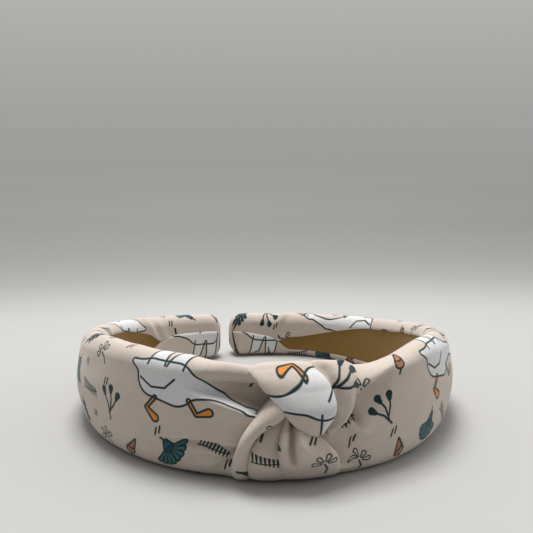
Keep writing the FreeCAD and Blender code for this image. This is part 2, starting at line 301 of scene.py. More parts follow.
# -------------------- node helpers
class Net:
    """Short names for building a material's node tree."""

    def __init__(self, name):
        self.material = bpy.data.materials.new(name)
        self.material.use_nodes = True
        self.tree = self.material.node_tree
        self.tree.nodes.clear()

    def node(self, kind, **settings):
        made = self.tree.nodes.new(kind)
        for key, value in settings.items():
            setattr(made, key, value)
        return made

    def put(self, socket, value):
        if isinstance(value, bpy.types.NodeSocket):
            self.tree.links.new(value, socket)
        else:
            socket.default_value = value

    def math(self, operation, *values, clamp=False):
        made = self.node("ShaderNodeMath", operation=operation, use_clamp=clamp)
        for socket, value in zip(made.inputs, values):
            self.put(socket, value)
        return made.outputs[0]

    def vector(self, operation, *values, scale=None):
        made = self.node("ShaderNodeVectorMath", operation=operation)
        for socket, value in zip(made.inputs, values):
            self.put(socket, value)
        if scale is not None:
            self.put(made.inputs["Scale"], scale)
        scalar = operation in ("DOT_PRODUCT", "DISTANCE", "LENGTH")
        return made.outputs["Value" if scalar else "Vector"]

    def mix(self, factor, a, b, blend="MIX"):
        """A colour between a and b."""
        made = self.node("ShaderNodeMix", data_type="RGBA", blend_type=blend)
        self.put(made.inputs["Factor"], factor)
        self.put(made.inputs["A"], a)
        self.put(made.inputs["B"], b)
        return made.outputs["Result"]

    def noise(self, vector, scale, detail=2.0, roughness=0.5):
        made = self.node("ShaderNodeTexNoise")
        self.put(made.inputs["Vector"], vector)
        made.inputs["Scale"].default_value = scale
        made.inputs["Detail"].default_value = detail
        made.inputs["Roughness"].default_value = roughness
        return made.outputs["Fac"]

    def uv(self):
        """The cloth's own coordinates, in mm."""
        return self.vector("SCALE", self.node("ShaderNodeUVMap", uv_map="cloth").outputs[0],
                           scale=1 / MM)

    def place(self):
        return self.node("ShaderNodeTexCoord").outputs["Object"]

    def bump(self, height, strength, distance):
        """The normal for a height, with distance in m."""
        made = self.node("ShaderNodeBump")
        made.inputs["Strength"].default_value = strength
        made.inputs["Distance"].default_value = distance
        self.put(made.inputs["Height"], height)
        return made.outputs["Normal"]

    def shader(self, colour, roughness, normal=None, **constants):
        made = self.node("ShaderNodeBsdfPrincipled")
        self.put(made.inputs["Base Color"], colour)
        self.put(made.inputs["Roughness"], roughness)
        if normal is not None:
            self.put(made.inputs["Normal"], normal)
        for key, value in constants.items():
            made.inputs[key.replace("_", " ")].default_value = value
        out = self.node("ShaderNodeOutputMaterial")
        self.tree.links.new(made.outputs[0], out.inputs["Surface"])
        return self.material


# -------------------- colours, and the print
INK = (0.006, 0.030, 0.034, 1)
CLOTH = (0.63, 0.548, 0.483, 1)
CLOTH_DEEP = (0.60, 0.515, 0.455, 1)
WHITE = (0.72, 0.72, 0.73, 1)
TEAL = (0.040, 0.165, 0.180, 1)
BLUE = (0.020, 0.085, 0.150, 1)
RUST = (0.40, 0.17, 0.07, 1)
ORANGE = (0.75, 0.27, 0.05, 1)
SUEDE_DARK, SUEDE_LIGHT = (0.245, 0.140, 0.036, 1), (0.33, 0.198, 0.055, 1)
SUEDE_NAP = (0.13, 0.08, 0.035, 1)
FOAM_PORE_SHADE, FOAM_WALL = (0.45, 0.42, 0.36, 1), (0.82, 0.80, 0.74, 1)
PLASTIC_DARK, PLASTIC_LIGHT = (0.022, 0.021, 0.020, 1), (0.034, 0.032, 0.030, 1)
LINE = 0.36         # half the width of a drawn line, mm
SOFT_EDGE = 0.14    # how far a drawn edge blurs each way, mm


def stroke(net, p, a, b, start=0.0, end=0.0):
    """Distance from p to the line a-b, less a radius that runs from start to end."""
    along = (b[0] - a[0], b[1] - a[1], 0)
    length = along[0] ** 2 + along[1] ** 2
    from_a = net.vector("SUBTRACT", p, (a[0], a[1], 0))
    share = net.vector("DOT_PRODUCT", from_a, (along[0] / length, along[1] / length, 0))
    share = net.math("MULTIPLY", share, 1.0, clamp=True)
    near = net.vector("SCALE", along, scale=share)
    far = net.vector("DISTANCE", from_a, near)
    if start == 0.0 and end == 0.0:
        return far
    radius = net.math("MULTIPLY_ADD", share, end - start, start)
    return net.math("SUBTRACT", far, radius)


def nearest(net, distances, blend=0.0):
    """The union of several shapes; blend rounds the places where they meet."""
    result = distances[0]
    for distance in distances[1:]:
        if blend:
            result = net.math("SMOOTH_MIN", result, distance, blend)
        else:
            result = net.math("MINIMUM", result, distance)
    return result


def covered(net, distance, width=0.0):
    """1 inside a shape grown by width, 0 outside, with a soft edge."""
    return net.math("MULTIPLY_ADD", distance, -0.5 / SOFT_EDGE, 0.5 + 0.5 * width / SOFT_EDGE,
                    clamp=True)


def path(net, p, points):
    """A drawn line through several points."""
    return nearest(net, [stroke(net, p, a, b) for a, b in zip(points, points[1:])])


def goose(net, p):
    """A plain goose in a hurry, 50 mm long: (white fill, orange fill, ink lines)."""
    body = nearest(net, [
        stroke(net, p, (-12.5, 0.5), (-4.0, -0.5), 6.0, 6.8),
        stroke(net, p, (-14.0, 2.5), (-20.5, 4.5), 3.4, 0.9),
        stroke(net, p, (-1.0, -0.5), (10.0, -1.5), 4.4, 1.9),
        stroke(net, p, (10.0, -1.5), (20.0, -6.0), 1.9, 1.1),
        stroke(net, p, (20.0, -6.0), (22.2, -6.9), 1.8, 1.5),
    ], blend=2.0)
    wings = [nearest(net, [stroke(net, p, (-12.0, 1.0), (-10.5, 12.0), 3.6, 2.6),
                           stroke(net, p, (-10.5, 12.0), (-9.0, 15.5), 2.6, 1.0)]),
             nearest(net, [stroke(net, p, (-5.5, 1.5), (-2.5, 10.0), 3.2, 2.3),
                           stroke(net, p, (-2.5, 10.0), (0.0, 13.5), 2.3, 0.9)])]
    beak = stroke(net, p, (24.0, -7.4), (27.4, -8.8), 1.2, 0.35)
    legs = nearest(net, [stroke(net, p, (-11.5, -5.6), (-14.5, -9.0), 0.6, 0.5),
                         stroke(net, p, (0.5, -5.0), (3.0, -9.0), 0.6, 0.5)])
    feet = nearest(net, [stroke(net, p, (-14.8, -9.2), (-11.5, -12.2), 0.5, 1.3),
                         stroke(net, p, (3.2, -9.2), (7.2, -8.0), 0.5, 1.3)])
    orange = nearest(net, [beak, legs, feet])
    eye = net.math("SUBTRACT", net.vector("DISTANCE", p, (21.6, -6.3, 0)), 0.15)
    drawn = [net.math("ABSOLUTE", body), net.math("ABSOLUTE", orange), eye,
             path(net, p, [(-17.5, 0.0), (-13.0, -2.5), (-8.0, -2.2), (-4.5, 1.0)])]
    drawn += [net.math("MAXIMUM", net.math("ABSOLUTE", wing), net.math("SUBTRACT", -1.5, body))
              for wing in wings]
    shape = nearest(net, [body] + wings)
    return covered(net, shape), covered(net, orange), nearest(net, drawn)


def split_xy(net, p):
    """The two parts of a place."""
    parts = net.node("ShaderNodeSeparateXYZ")
    net.put(parts.inputs[0], p)
    return parts.outputs[0], parts.outputs[1]


def join_xy(net, x, y, z=0.0):
    """A place from its parts."""
    joined = net.node("ShaderNodeCombineXYZ")
    for socket, value in zip(joined.inputs, (x, y, z)):
        net.put(socket, value)
    return joined.outputs[0]


def coneflower(net, p):
    """A flower with a fan of hanging petals: (petals, cone, lines)."""
    x, y = split_xy(net, p)
    mirrored = join_xy(net, net.math("ABSOLUTE", x), y)
    petals = nearest(net, [stroke(net, mirrored, (0.35, 1.2), tip, 0.4, 0.85)
                           for tip in ((0.9, -4.0), (2.5, -3.5), (4.0, -2.3), (5.0, -0.6))])
    cone = stroke(net, p, (0, 1.6), (0, 3.6), 1.9, 0.9)
    stem = path(net, p, [(-0.2, 4.4), (-0.8, 6.0)])
    outlines = [net.math("ABSOLUTE", petals), net.math("ABSOLUTE", cone)]
    return petals, cone, nearest(net, outlines + [stem])


def sprig(net, p):
    """A stem with pairs of filled leaves."""
    x, y = split_xy(net, p)
    mirrored = join_xy(net, net.math("ABSOLUTE", x), y)
    leaves = [stroke(net, mirrored, (0.3, up), (1.9, up + 1.5), 0.15, 0.62)
              for up in (-2.6, -0.4, 1.8)]
    top_leaf = stroke(net, p, (0, 3.9), (0, 5.2), 0.6, 0.3)
    stem = stroke(net, p, (0, -5.6), (0, 4.0), 0.3, 0.3)
    return nearest(net, leaves + [top_leaf, stem])


def buds(net, p):
    """Thin stalks with small filled cups."""
    stalks = nearest(net, [path(net, p, [(-0.8, -5.4), (-1.4, -0.5), (-3.0, 2.8)]),
                           path(net, p, [(-0.9, -3.4), (0.4, 1.2), (0.4, 4.0)]),
                           path(net, p, [(-0.6, -2.4), (2.0, 0.2), (3.2, 2.0)])])
    cups = nearest(net, [stroke(net, p, (-3.0, 2.8), (-3.5, 4.2), 0.3, 0.8),
                         stroke(net, p, (0.4, 4.0), (0.5, 5.3), 0.3, 0.8),
                         stroke(net, p, (3.2, 2.0), (4.0, 3.2), 0.3, 0.8)])
    return stalks, net.math("SUBTRACT", net.math("ABSOLUTE", net.math("ADD", cups, 0.2)), 0.32)


def grass(net, p):
    """A row of short slanting strokes along a thin stem."""
    x, y = split_xy(net, p)
    cut = net.math("MAXIMUM", net.math("SUBTRACT", net.math("ABSOLUTE", x), 5.2), 0.0)
    local = net.math("PINGPONG", x, 0.62)
    slanted = join_xy(net, local, net.math("MULTIPLY_ADD", x, 0.12, y))
    blade = stroke(net, slanted, (0.0, -1.3), (0.2, 1.2))
    stem = stroke(net, p, (-5.4, -1.2), (5.6, -0.2))
    far = net.math("MULTIPLY_ADD", cut, 6.0, net.math("ADD", blade, 0.1))
    return nearest(net, [far, net.math("ADD", stem, 0.12)])


def daisy(net, p):
    """An outlined flower of a few loops on a stalk."""
    loops = [stroke(net, p, (x * 0.45, y * 0.45), (x, y), 0.35, 0.75)
             for x, y in ((3.2, 0.5), (-3.2, 0.1), (1.5, 2.5), (-1.7, 2.2))]
    outline = net.math("ABSOLUTE", nearest(net, loops))
    return nearest(net, [net.math("ADD", outline, 0.1),
                         path(net, p, [(0.0, -0.4), (0.9, -2.4), (0.3, -4.2)])])


def bell(net, p):
    """A small leaning cone on a short stalk: (fill, lines)."""
    cone = stroke(net, p, (-0.8, -1.6), (1.0, 3.0), 1.9, 0.25)
    hatch = path(net, p, [(-2.2, -0.6), (-0.2, -1.2), (1.0, -0.4)])
    stalk = stroke(net, p, (-0.9, -3.4), (-1.4, -5.0))
    return cone, nearest(net, [net.math("ABSOLUTE", cone), hatch, stalk])


GOOSE_PLACE = (-32.0, 30.5)                 # the middle of the goose beside the knot, mm
GOOSE_TILE, SMALL_TILE = (104.0, 52.0, 1.0), (15.6, 14.4, 1.0)
WAVE_HEIGHT, WAVE_TURN = 3.5, 0.075         # the rows' wave: mm, and radians for each mm
TICKS_SHARE = 0.6                           # how many of the gaps hold a pair of ticks
MOTIF_SEED, TICKS_SEED = 7.0, 21.0
HIDDEN = 60.0                               # added to a distance to hide its shape
KINDS = 6                                   # of small motifs, in turn along the rows
FIRST_KIND = 603.0                          # keeps the turn above 0, and is where it starts
RIB_SCALE = 0.314 / 0.62                    # knit ribs 0.62 mm apart


def tiled(net, point, tile, seed):
    """(place in the tile, its random values, its middle, column, row); alternate rows shift."""
    across, up = split_xy(net, net.vector("DIVIDE", point, tile))
    row = net.math("FLOOR", up)
    push = net.math("MULTIPLY", net.math("ABSOLUTE", net.math("MODULO", row, 2.0)), 0.5)
    moved = net.math("ADD", across, push)
    column = net.math("FLOOR", moved)
    chance = net.node("ShaderNodeTexWhiteNoise", noise_dimensions="3D")
    net.put(chance.inputs["Vector"], join_xy(net, column, row, seed))
    here = join_xy(net, net.math("SUBTRACT", net.math("SUBTRACT", moved, column), 0.5),
                   net.math("SUBTRACT", net.math("SUBTRACT", up, row), 0.5))
    place = net.vector("MULTIPLY", here, tile)
    return place, chance, net.vector("SUBTRACT", point, place), column, row


def waved(net, point, height):
    """Rows of small motifs run in a gentle wave, height mm up or down."""
    x, y = split_xy(net, point)
    wave = net.math("SINE", net.math("MULTIPLY", x, WAVE_TURN))
    return join_xy(net, x, net.math("MULTIPLY_ADD", wave, height, y))


def in_goose_tile(net, point):
    """The place of a point in its goose's own tile."""
    origin = (GOOSE_PLACE[0] - GOOSE_TILE[0] / 2, GOOSE_PLACE[1] - GOOSE_TILE[1] / 2, 0)
    return tiled(net, net.vector("SUBTRACT", point, origin), GOOSE_TILE, 0.0)[0]


def clear_of_geese(net, middle):
    """1 where a small motif with this middle lies clear of the geese, else 0."""
    near_goose = in_goose_tile(net, waved(net, middle, -WAVE_HEIGHT))
    body_far = stroke(net, near_goose, (-14.0, 1.0), (0.0, 1.0), 14.5, 14.0)
    neck_far = stroke(net, near_goose, (0.0, -1.0), (25.0, -7.0), 10.0, 7.5)
    return net.math("GREATER_THAN", nearest(net, [body_far, neck_far]), 0.0)


def shown_where(net, distance, here):
    """The distance where here is 1, and a large number where it is 0."""
    return net.math("ADD", distance, net.math("MULTIPLY_ADD", here, -HIDDEN, HIDDEN))


def tick_pairs(net, uv):
    """Pairs of short ticks in some of the gaps between the small motifs."""
    gap = (SMALL_TILE[0] / 4, -SMALL_TILE[1] / 2, 0)
    moved = net.vector("SUBTRACT", waved(net, uv, WAVE_HEIGHT), gap)
    spot, chance, middle = tiled(net, moved, SMALL_TILE, TICKS_SEED)[:3]
    some = net.math("LESS_THAN", chance.outputs["Value"], TICKS_SHARE)
    some = net.math("MULTIPLY", some, clear_of_geese(net, net.vector("ADD", middle, gap)))
    ticks = nearest(net, [stroke(net, spot, (-0.9, -1.3), (-0.3, 0.9)),
                          stroke(net, spot, (0.6, -0.9), (1.1, 1.2))])
    return shown_where(net, ticks, some)


def printed_knit(name):
    """The cover's brushed knit with its meadow and goose print."""
    net = Net(name)
    uv = net.uv()
    white, orange, goose_lines = goose(net, in_goose_tile(net, uv))
    small, chance, middle, column, row = tiled(net, waved(net, uv, WAVE_HEIGHT), SMALL_TILE,
                                               MOTIF_SEED)
    free = clear_of_geese(net, middle)

    # each motif is pushed a little off its tile's middle, and turned
    colour = net.node("ShaderNodeSeparateColor")
    net.put(colour.inputs[0], chance.outputs["Color"])
    pushed = net.vector("SUBTRACT", chance.outputs["Color"], (0.5, 0.5, 0.5))
    small = net.vector("ADD", small, net.vector("MULTIPLY", pushed, (3.2, 2.6, 0.0)))
    turned = net.node("ShaderNodeVectorRotate", rotation_type="Z_AXIS")
    net.put(turned.inputs["Vector"], small)
    net.put(turned.inputs["Angle"], net.math("MULTIPLY_ADD", colour.outputs[2], 1.8, -0.9))
    p = turned.outputs[0]

    order = net.math("MULTIPLY_ADD", row, 3.0, net.math("ADD", column, FIRST_KIND))
    pick = net.math("MODULO", order, float(KINDS))

    def shown(distance, kind):
        """The distance in tiles of this kind, and a large number elsewhere."""
        here = net.math("MULTIPLY", net.math("COMPARE", pick, float(kind), 0.3), free)
        return shown_where(net, distance, here)

    petals, cone, flower_lines = coneflower(net, p)
    stalks, cups = buds(net, p)
    brown, brown_lines = bell(net, p)
    lines = nearest(net, [goose_lines, tick_pairs(net, uv), shown(flower_lines, 0),
                          shown(grass(net, p), 1), shown(nearest(net, [stalks, cups]), 2),
                          shown(sprig(net, p), 3), shown(daisy(net, p), 4),
                          shown(brown_lines, 5)])

    rib = net.node("ShaderNodeTexWave", wave_type="BANDS", bands_direction="Y")
    net.put(rib.inputs["Vector"], uv)
    rib.inputs["Scale"].default_value = RIB_SCALE
    rib.inputs["Distortion"].default_value = 0.6
    rib.inputs["Detail"].default_value = 1.0
    fuzz = net.noise(net.place(), scale=900.0, detail=3.0, roughness=0.6)
    mottle = net.noise(net.place(), scale=55.0)
    # painted shade: the colour is up to 4 % darker in the grooves between the knit's ribs
    shade = net.math("MULTIPLY_ADD", rib.outputs["Fac"], 0.04, 0.96)
    cloth = net.mix(mottle, CLOTH, CLOTH_DEEP)
    ground = net.mix(white, cloth, WHITE)
    ground = net.mix(orange, ground, ORANGE)
    ground = net.mix(covered(net, shown(petals, 0)), ground, TEAL)
    ground = net.mix(covered(net, shown(cone, 0)), ground, BLUE)
    ground = net.mix(covered(net, shown(brown, 5)), ground, RUST)
    ground = net.mix(covered(net, lines, LINE), ground, INK)
    tone = net.math("MULTIPLY", shade, net.math("MULTIPLY_ADD", fuzz, 0.22, 0.89))
    grey = net.node("ShaderNodeCombineColor")
    for channel in range(3):
        net.put(grey.inputs[channel], tone)
    # the print, darkened by the painted rib shade and by the fuzz's random tone
    print_with_rib_shade = net.mix(1.0, ground, grey.outputs[0], "MULTIPLY")
    height = net.math("MULTIPLY_ADD", fuzz, 0.5, rib.outputs["Fac"])
    normal = net.bump(height, strength=0.2, distance=0.00007)
    return net.shader(print_with_rib_shade, roughness=0.92, normal=normal,
                      Sheen_Weight=0.25, Sheen_Roughness=0.5, Specular_IOR_Level=0.25)


def suede(name):
    """Tan-brown brushed lining."""
    net = Net(name)
    place = net.place()
    nap = net.noise(place, scale=1400.0, detail=3.0, roughness=0.65)
    brushed = net.noise(place, scale=90.0, detail=3.0, roughness=0.6)
    base = net.mix(brushed, SUEDE_DARK, SUEDE_LIGHT)
    base = net.mix(net.math("MULTIPLY", nap, 0.35), base, SUEDE_NAP)
    normal = net.bump(nap, strength=0.4, distance=0.00015)
    return net.shader(base, roughness=0.95, normal=normal,
                      Sheen_Weight=0.35, Sheen_Roughness=0.4, Specular_IOR_Level=0.2)


def sponge(name):
    """Off-white foam with open pores, and painted shade where its surface sinks."""
    net = Net(name)
    pores = net.node("ShaderNodeTexVoronoi", feature="DISTANCE_TO_EDGE")
    net.put(pores.inputs["Vector"], net.place())
    pores.inputs["Scale"].default_value = 1400.0
    # painted shade: the colour darkens towards the cells' edges, where the bump sinks
    base = net.mix(pores.outputs["Distance"], FOAM_PORE_SHADE, FOAM_WALL)
    normal = net.bump(pores.outputs["Distance"], strength=0.5, distance=0.0002)
    return net.shader(base, roughness=0.9, normal=normal)


def moulded_plastic(name):
    """Dark springy plastic with a faint moulded grain."""
    net = Net(name)
    grain = net.noise(net.place(), scale=2200.0)
    base = net.mix(grain, PLASTIC_DARK, PLASTIC_LIGHT)
    roughness = net.math("MULTIPLY_ADD", grain, 0.15, 0.42)
    return net.shader(base, roughness, net.bump(grain, strength=0.15, distance=0.00005))


KNIT = printed_knit("printed_knit")
SUEDE = suede("lining_suede")
SPONGE = sponge("foam_padding")
PLASTIC = moulded_plastic("hoop_plastic")


# -------------------- folds in the covers
HOLLOW_DEPTH, LAP_HEIGHT = 6.0, 1.7         # left of the knot
VALLEY_DEPTH, ROLL_HEIGHT = 3.0, 1.8        # right of the knot


def cover_relief(s, v):
    """How far the fabric stands out from, or sinks into, the plain band, in mm."""
    out = np.zeros_like(s)
    # left of the knot: the face sinks below the top roll, and the lower part laps up over it
    ridge = [(-43, 29.5), (-34, 28.0), (-27, 26.6), (-21, 25.4), (-16, 24.0), (-8, 21.0)]
    far, side, along = line_distance(s, v, ridge)
    near = smooth_step(along, 0.12, 0.85)
    hollow = smooth_step(far, 0.0, 2.2) * (1 - smooth_step(far, 6.5, 11.5)) * (side > 0)
    out -= HOLLOW_DEPTH * near * hollow * (1 - smooth_step(v, 31.0, 36.0))
    lap = np.exp(-(far / np.where(side > 0, 1.1, 4.5)) ** 2)
    out += LAP_HEIGHT * smooth_step(along, 0.2, 0.8) * lap
    for line, depth, width, other, fade in [
            ([(-44, 12), (-36, 12.2), (-28, 12.3), (-22, 11.8), (-14, 10.8)], -2.3, 0.7, 3.2,
             (0.5, 1.0)),
            ([(-42, 10.2), (-34, 10.4), (-26, 10.4), (-14, 9.0)], 0.7, 1.2, 2.0, (0.4, 1.0)),
            ([(-32, 7.6), (-25, 8.5), (-18, 8.2)], -0.8, 0.5, 1.6, (0.3, 1.0)),
            ([(-27, 3.0), (-22.5, 5.0), (-20, 7.0), (-17.5, 9.5)], -1.4, 0.7, 1.5, (0.3, 1.0)),
            ([(-33, 38), (-24, 37.4), (-16, 36.6), (-12, 35)], 0.9, 3.0, 2.6, (0.5, 1.0)),
            ([(-30, 6), (-24, 5.5), (-18, 6)], 0.7, 2.4, 2.4, (0.4, 1.0))]:
        out += crease(s, v, line, depth, width, other, fade)
    # right of the knot: a light top roll above a valley, and a short curl below it
    valley = [(18, 23.5), (20.5, 25.7), (27.5, 30.2), (36.5, 35.4), (48, 39.5)]
    far, side, along = line_distance(s, v, valley)
    near = 1 - smooth_step(along, 0.35, 0.95)
    out -= VALLEY_DEPTH * near * np.exp(-(far / np.where(side > 0, 1.0, 6.0)) ** 2)
    out += ROLL_HEIGHT * near * np.exp(-((far - 3.0) / 2.6) ** 2) * (side > 0)
    for line, depth, width, other, fade in [
            ([(18.4, 24), (19.8, 21), (21.2, 18.9), (23.2, 18.0)], -1.9, 1.4, 1.2, (0.0, 0.6)),
            ([(16.8, 21.5), (18.6, 18.0), (21.2, 15.6), (24.2, 15.6), (26.0, 18.2)], 1.3, 1.2, 1.7,
             (0.1, 0.6)),
            ([(13, 5.0), (17, 3.8), (22, 3.2)], 1.3, 0.6, 0.9, (0.0, 0.4)),
            ([(14, 12.5), (22, 13.5), (34, 14.5)], -0.9, 2.5, 3.5, (0.0, 0.3)),
            # where the cloth is gathered into the closed tips, over the top and down the inside
            ([(-157, 24), (-160, 31), (-165, 38), (-172, 46)], 0.9, 1.0, 3.4, (0.3, 0.6)),
            ([(-166, 28), (-170, 36), (-177, 44)], 0.6, 2.0, 2.4, (0.3, 0.6)),
            ([(220, 34), (215, 30.5), (210, 26), (205, 19)], 0.9, 3.2, 1.0, (0.3, 0.6)),
            ([(226, 31), (222, 27), (218, 21)], 0.5, 1.8, 2.0, (0.3, 0.6))]:
        out += crease(s, v, line, depth, width, other, fade)
    return out


def along_ring(start, end, near, far_step, close_step):
    """Places along the ring: close together beside the knot and at the end, else wider."""
    places, here = [start], start
    direction = 1 if end > start else -1
    while (end - here) * direction > 0:
        close = abs(here) < near or abs(end - here) < 8
        here += direction * (close_step if close else far_step)
        places.append(here)
    places[-1] = end
    return np.array(places)


SOCK = {"left_arm": 35.5, "right_arm": 24.0}    # from each tip to the lining's point
UPPER_LIP, LOWER_LIP = 4.3, 3.2                 # fabric turned over the lining elsewhere
SEAM_SHARE = 0.42                               # how far down the inner face each tip's seam is
PRINT_LEVEL = 20.0                              # v that the print is measured up and down from
# for each arm: how far the seam falls on the way to the point, as a share of the inner face,
# how much wider the upper lip is there, and where that, the closed part and the lower lip end
LIPS = {"left_arm": (-0.02, 3.0, (1.5, 30.5), (-1.5, 11.5), (-9.5, 33.0)),
        "right_arm": (0.34, 6.5, (2.0, 56.0), (-3.0, 8.0), (-3.0, 8.0))}


def cover(name, start, tip, body):
    """One strip of the cover, from under the knot to its tip."""
    places = along_ring(start, tip * RADIUS, near=FOLD_ZONE, far_step=1.3, close_step=0.6)
    columns = 150
    s = np.repeat(places[:, None], columns, axis=1)
    theta = s / RADIUS
    top = top_height(theta)
    away = abs(tip * RADIUS) - abs(s)
    sock = SOCK[body]
    inner_face = top - 2 * INNER_ROUND
    fall, slant, slant_ends, closed_ends, lower_ends = LIPS[body]
    seam = inner_face * (SEAM_SHARE + fall * np.clip(away / sock, 0, 1))
    # near the tip the two lips meet on a slanting seam; elsewhere the lining shows between them
    slanted, closed, closing = (1 - smooth_step(away - sock, *ends)
                                for ends in (slant_ends, closed_ends, lower_ends))
    upper_lip = UPPER_LIP + slant * slanted
    upper_lip = upper_lip + (seam + INNER_ROUND + 1.0 - upper_lip) * closed
    lower_lip = LOWER_LIP + (inner_face - seam + INNER_ROUND + 2.2 - LOWER_LIP) * closing
    under = OUTER_ROUND - (OUTER_ROUND + INNER_ROUND) * math.pi / 2 - FLAT
    high = inner_face_start(top) + upper_lip - INNER_ROUND
    low = under - (lower_lip - INNER_ROUND)
    share = np.linspace(0, 1, columns)[None, :]
    v = low + (high - low) * share
    # the edges turn under as a soft hem, and the lower wrap laps over the upper one
    from_edge = np.minimum(v - low, high - v)
    hem = -HEM_DROP * (1 - quarter_round(from_edge / HEM_WIDTH))
    lap = HEM_DROP * closing * smooth_step(low + lower_lip - v, 0.0, 4.0)
    lift = hem + lap + cover_relief(s, v)
    base = band_point(s, v, np.zeros_like(s))
    drawn_in = 1 + 1.4 * (1 - smooth_step(np.abs(s), 18, 46))
    lift = lift + ripple(base, scale=9.0, strength=0.22, seed=3.0) * drawn_in
    lift = lift + ripple(base, scale=3.5, strength=0.07, seed=8.0) * drawn_in
    points = band_point(s, v, lift)
    # the print follows the cloth's own length over the folds, up and down from its level
    steps = np.linalg.norm(np.diff(points, axis=1, prepend=points[:, :1]), axis=2)
    along = np.cumsum(steps, axis=1)
    middle = np.abs(v - PRINT_LEVEL).argmin(axis=1)[:, None]
    printed = np.take_along_axis(v - along, middle, axis=1) + along
    piece = grid_object(name, points, np.stack([s, printed], axis=-1), KNIT, flip=tip > 0)
    thick = piece.modifiers.new("fabric", "SOLIDIFY")
    thick.thickness = FABRIC * MM
    thick.offset = -1
    finish_piece(piece, body)
    return piece


def hinge_blend(piece):
    """Applies a strip's placement to its mesh."""
    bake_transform(piece)


def finish_piece(piece, body):
    """Fixes a crown piece to the crown's body; for an arm piece, applies its placement to its
    mesh.
    """
    if body == "crown":
        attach(piece, body)
    else:
        hinge_blend(piece)


cover_left = cover("cover_left", 2.0, LEFT_TIP, "left_arm")
cover_right = cover("cover_right", -2.0, RIGHT_TIP, "right_arm")
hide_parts("cover_left_arm")
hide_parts("cover_right_arm")


# -------------------- lining and foam
PAST_POINT = 8.0            # how far the lining runs on past its visible point
FOAM_END = 0.985            # the foam stops this share of the way to each tip


def lining(name, tip, body):
    """One half of the suede lining, from behind the knot to inside the closed tip."""
    end = (abs(tip) * RADIUS - SOCK[body] + PAST_POINT) * np.sign(tip)
    places = along_ring(0.0, end, near=0.0, far_step=1.5, close_step=1.5)
    columns = 28
    s = np.repeat(places[:, None], columns, axis=1)
    top = top_height(s / RADIUS)
    inner_face = top - 2 * INNER_ROUND
    width = inner_face + 2 * HEM_OVERLAP
    v = inner_face_start(top) - HEM_OVERLAP + width * np.linspace(0, 1, columns)[None, :]
    base = band_point(s, v, np.zeros_like(s))
    waves = ripple(base, scale=14.0, strength=0.12, seed=5.0)
    points = band_point(s, v, LINING_LIFT + waves)
    piece = grid_object(name, points, np.stack([s, v], axis=-1), SUEDE, flip=tip > 0)
    thick = piece.modifiers.new("suede", "SOLIDIFY")
    thick.thickness = SUEDE_THICKNESS * MM
    thick.offset = -1
    finish_piece(piece, body)
    return piece


def foam(name, tip, body):
    """One half of the sponge under the cover."""
    places = along_ring(0.0, tip * RADIUS * FOAM_END, near=FOLD_ZONE, far_step=2.5,
                        close_step=1.5)
    columns = 64
    s = np.repeat(places[:, None], columns, axis=1)
    girth = round_length(s / RADIUS)
    v = girth * np.arange(columns)[None, :] / columns
    points = band_point(s, v, FOAM_LIFT + np.minimum(cover_relief(s, v), 0))
    piece = grid_object(name, points, np.stack([s, v], axis=-1), SPONGE, closed=True,
                        flip=tip > 0)
    finish_piece(piece, body)
    return piece


lining_left = lining("lining_left", LEFT_TIP, "left_arm")
lining_right = lining("lining_right", RIGHT_TIP, "right_arm")
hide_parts("lining_left_arm", "lining_crown")
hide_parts("lining_right_arm")
foam_left = foam("foam_left", LEFT_TIP, "left_arm")
foam_right = foam("foam_right", RIGHT_TIP, "right_arm")
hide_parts("foam_left_arm", "foam_crown")
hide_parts("foam_right_arm")

for node_name in ("hoop_crown", "hoop_left_arm", "hoop_right_arm"):
    node = frame["nodes"][node_name]
    for material_slot in node.material_slots:
        material_slot.material = PLASTIC


# -------------------- the knot
FOLD_ROWS = 90


def fold(name, left, right, lift, height, round_, shift, node=None, pleats=(), turn=0.0,
         columns=44):
    """One soft fold of the knot between two given edges, each a list of (s, v) in mm.

    lift is how far its edges stand above the band from end to end, and height how much more
    its middle swells. The edges turn down steeply, so the fold reads as doubled cloth.
    round_ is how square its section is, pleats are creases in it, and turn and shift place the
    print on it.
    """
    t = np.linspace(0, 1, FOLD_ROWS)
    a, b = spline(left, t), spline(right, t)
    lift = spline([(x, 0) for x in lift], t)[:, 0]
    height = spline([(x, 0) for x in height], t)[:, 0]
    angle = np.linspace(-math.pi / 2, math.pi / 2, columns)
    q = np.sin(angle)
    q = np.sign(q) * np.abs(q) ** 0.9
    swell = (1 - np.abs(q) ** round_) ** (1 / round_)
    s = a[:, None, 0] * (1 - q) / 2 + b[:, None, 0] * (1 + q) / 2
    v = a[:, None, 1] * (1 - q) / 2 + b[:, None, 1] * (1 + q) / 2
    up = lift[:, None] + height[:, None] * swell[None, :]
    inside = np.minimum(1.6 * swell, 1)[None, :]        # pleats die out at the fold's edges
    for line, depth, width, other, fade in pleats:
        up = up + crease(s, v, line, depth, width, other, fade) * inside
    base = band_point(s, v, np.zeros_like(s))
    up = up + ripple(base, scale=6.0, strength=0.22, seed=11.0) * swell[None, :]
    top_side = band_point(s, v, up)
    under = band_point(s[:, ::-1], v[:, ::-1], np.full_like(s, FOLD_UNDER))
    points = np.concatenate([top_side, under], axis=1)
    cos, sin = math.cos(turn), math.sin(turn)
    across = np.concatenate([s, s[:, ::-1]], axis=1)
    along = np.concatenate([v, v[:, ::-1]], axis=1)
    uv = np.stack([cos * across - sin * along + shift[0],
                   sin * across + cos * along + shift[1]], axis=-1)
    downwards = left[0][1] > left[-1][1]
    piece = grid_object(name, points, uv, KNIT, closed=True, flip=downwards)
    finish_piece(piece, "crown")
    if node:
        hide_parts(node)


